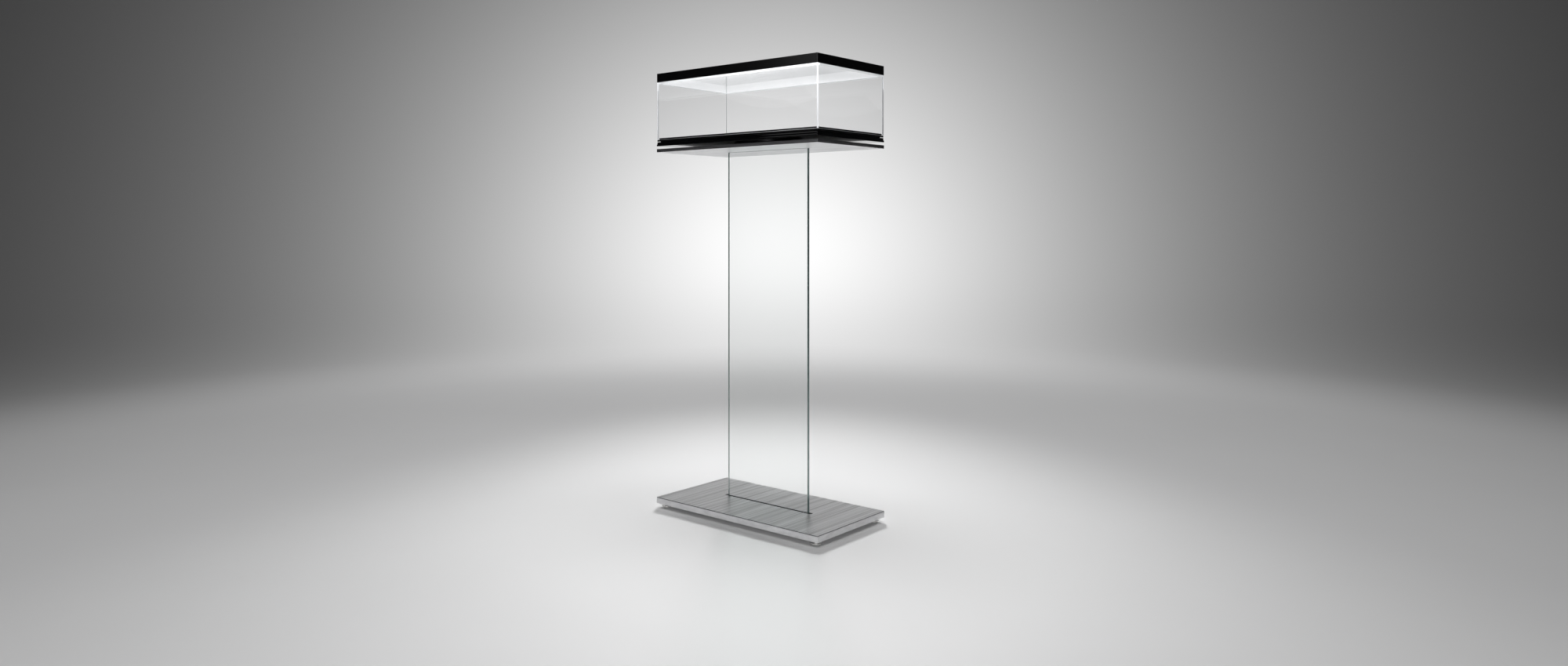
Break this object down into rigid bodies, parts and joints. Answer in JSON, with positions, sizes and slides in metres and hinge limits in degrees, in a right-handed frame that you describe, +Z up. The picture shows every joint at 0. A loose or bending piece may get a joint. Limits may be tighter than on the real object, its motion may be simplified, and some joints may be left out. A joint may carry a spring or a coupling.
{
  "type": "turntable display stand",
  "caption": "Floor-standing display stand: a turning black plinth under a lift-off clear case with a lighted lid, carried by one upright glass panel on a heavy steel foot plate.",
  "frame": {"origin": "on the floor, under the centre of the foot plate", "axes": "+Z up, +X along the long side, -Y towards the front, where a viewer stands"},
  "size_m": [0.701, 0.357, 1.4921],
  "materials": {
    "slab_steel": "pale grey bead-blasted stainless sides, finely textured",
    "sheet_bond": "black adhesive film, seen as a dark seam",
    "brushed_sheet": "stainless sheet brushed across its short side",
    "black_rubber": "matte black rubber",
    "clear_glass": "clear float glass with polished, green-grey edges",
    "top_plate_core": "dark satin aluminium",
    "grey_silicone": "silver-grey structural silicone",
    "anodised_ring": "natural anodised aluminium",
    "zinc_screw": "zinc plated",
    "polished_steel": "polished steel",
    "white_plastic": "white plastic",
    "black_acrylic": "polished black acrylic",
    "clear_acrylic": "clear cast acrylic with polished edges",
    "black_paint": "satin black lacquer on aluminium",
    "light_panel": "opal acrylic, lit from its edges",
    "circuit_board": "green solder mask",
    "battery_wrap": "shrink-wrapped cells",
    "grey_button": "moulded grey plastic",
    "socket_plastic": "moulded black plastic"
  },
  "bodies": {
    "stand": {"base_slab": "slab_steel", "base_sheet_bond": "sheet_bond", "base_top_sheet": "brushed_sheet", "base_slot_gasket": "black_rubber", "setting_block_left": "black_rubber", "setting_block_right": "black_rubber", "glass_panel": "clear_glass", "top_slot_seal": "grey_silicone", "top_lower_plate": "brushed_sheet", "top_upper_plate": "top_plate_core", "turntable_lower_ring": "anodised_ring", "lower_ring_screw_1": "zinc_screw", "lower_ring_screw_2": "zinc_screw", "lower_ring_screw_3": "zinc_screw"},
    "foot_1": {"levelling_foot_1": "polished_steel", "foot_pad_1": "black_rubber"},
    "foot_2": {"levelling_foot_2": "polished_steel", "foot_pad_2": "black_rubber"},
    "foot_3": {"levelling_foot_3": "polished_steel", "foot_pad_3": "black_rubber"},
    "foot_4": {"levelling_foot_4": "polished_steel", "foot_pad_4": "black_rubber"},
    "ball_train": {"ball_cage": "white_plastic", "bearing_ball_1": "polished_steel", "bearing_ball_2": "polished_steel", "bearing_ball_3": "polished_steel", "bearing_ball_4": "polished_steel", "bearing_ball_5": "polished_steel", "bearing_ball_6": "polished_steel", "bearing_ball_7": "polished_steel", "bearing_ball_8": "polished_steel"},
    "plinth": {"turntable_upper_ring": "anodised_ring", "upper_ring_screw_1": "zinc_screw", "upper_ring_screw_2": "zinc_screw", "upper_ring_screw_3": "zinc_screw", "plinth_flange": "black_acrylic", "plinth_core": "black_acrylic", "plinth_ledge": "black_acrylic", "plinth_deck": "black_acrylic"},
    "cover": {"front_pane": "clear_acrylic", "back_pane": "clear_acrylic", "left_pane": "clear_acrylic", "right_pane": "clear_acrylic", "top_pane": "clear_acrylic", "lid_rail_front": "black_paint", "lid_rail_back": "black_paint", "lid_rail_left": "black_paint", "lid_rail_right": "black_paint", "lid_top_skin": "black_paint", "light_diffuser": "light_panel", "light_reflector": "white_plastic", "led_strip_front": "circuit_board", "led_strip_back": "circuit_board", "led_strip_left": "circuit_board", "led_strip_right": "circuit_board", "battery_pack": "battery_wrap", "driver_board": "circuit_board", "charging_inlet": "socket_plastic"},
    "button": {"power_button": "grey_button"}
  },
  "joints": [
    {"name": "foot_1_height", "type": "slide", "parent": "stand", "child": "foot_1", "axis": [0, 0, -1], "range_m": [0, 0.008]},
    {"name": "foot_2_height", "type": "slide", "parent": "stand", "child": "foot_2", "axis": [0, 0, -1], "range_m": [0, 0.008]},
    {"name": "foot_3_height", "type": "slide", "parent": "stand", "child": "foot_3", "axis": [0, 0, -1], "range_m": [0, 0.008]},
    {"name": "foot_4_height", "type": "slide", "parent": "stand", "child": "foot_4", "axis": [0, 0, -1], "range_m": [0, 0.008]},
    {"name": "turntable_turn", "type": "hinge", "parent": "stand", "child": "plinth", "pos_m": [0, 0, 1.23725], "axis": [0, 0, 1], "continuous": true},
    {"name": "ball_train_turn", "type": "hinge", "parent": "stand", "child": "ball_train", "pos_m": [0, 0, 1.23725], "axis": [0, 0, 1], "continuous": true},
    {"name": "cover_lift", "type": "slide", "parent": "plinth", "child": "cover", "axis": [0, 0, 1], "range_m": [0, 0.25]},
    {"name": "button_press", "type": "slide", "parent": "cover", "child": "button", "axis": [0, -1, 0], "range_m": [0, 0.0012], "stiffness_N_per_m": 900, "springref_m": -0.0008}
  ],
  "couplings": [
    {"joint": "ball_train_turn", "follows": "turntable_turn", "ratio": 0.5}
  ]
}
